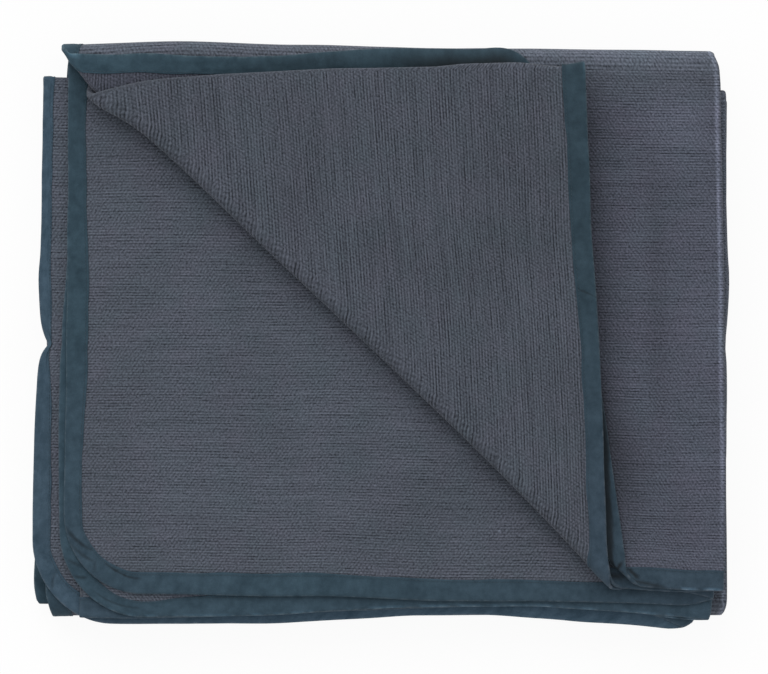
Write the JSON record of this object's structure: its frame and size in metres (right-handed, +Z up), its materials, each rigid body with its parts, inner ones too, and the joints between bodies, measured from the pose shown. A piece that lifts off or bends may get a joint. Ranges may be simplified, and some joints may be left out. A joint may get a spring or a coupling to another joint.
{
  "type": "folded yoga blanket",
  "caption": "Ribbed cotton yoga blanket with a wide bound edge and round corners, folded into a flat pack with one top corner turned over along a diagonal.",
  "frame": {"origin": "under the middle of the pack, on the surface it rests on", "axes": "+Z up, the shortest way through the pack; +X along its long side; +Y towards the pack's rounded outer fold"},
  "size_m": [0.5064, 0.4286, 0.0732],
  "materials": {
    "cloth": "slate grey ribbed cotton weave, matt, with a slight brushed nap",
    "tape": "dark petrol blue plain cotton tape, matt, slightly puckered"
  },
  "bodies": {
    "root": {"blanket": "cloth", "binding": "tape"}
  },
  "joints": []
}
